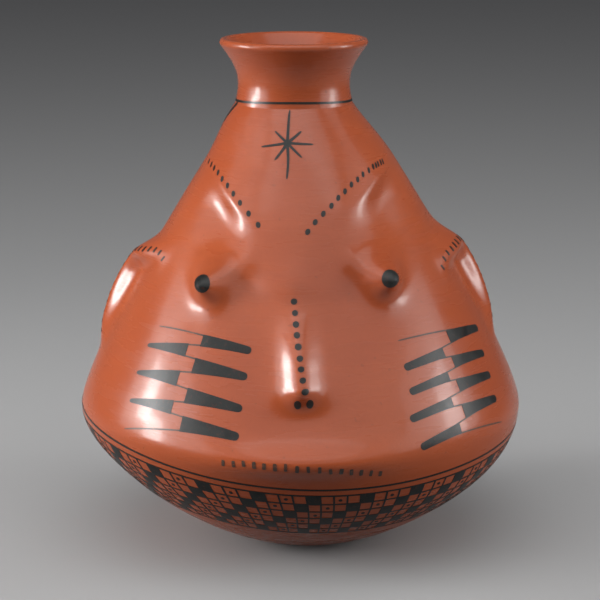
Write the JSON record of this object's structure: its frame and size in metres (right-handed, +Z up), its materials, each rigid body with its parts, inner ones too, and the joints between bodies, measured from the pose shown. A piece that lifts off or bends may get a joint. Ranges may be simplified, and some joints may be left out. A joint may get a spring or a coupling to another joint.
{
  "type": "effigy vase",
  "caption": "Hand-built burnished red clay vase, a wide bowl and tapering cone with a face pressed out of its wall, ears at its sides and a short flared neck.",
  "frame": {"origin": "middle of the flat foot, on the surface that the vase stands on", "axes": "+Z up along the vase, -Y out of the face, +X to the right of a viewer who faces it"},
  "size_m": [0.1752, 0.1796, 0.2005],
  "materials": {
    "red_clay": "burnished, semi-gloss",
    "black_slip": "fired slip paint, satin"
  },
  "bodies": {
    "root": {"base_tortilla": "red_clay", "lower_wall_coil": "red_clay", "face_wall_coil": "red_clay", "forehead_coil": "red_clay", "neck_coil": "red_clay", "rim_coil": "red_clay"}
  },
  "joints": []
}
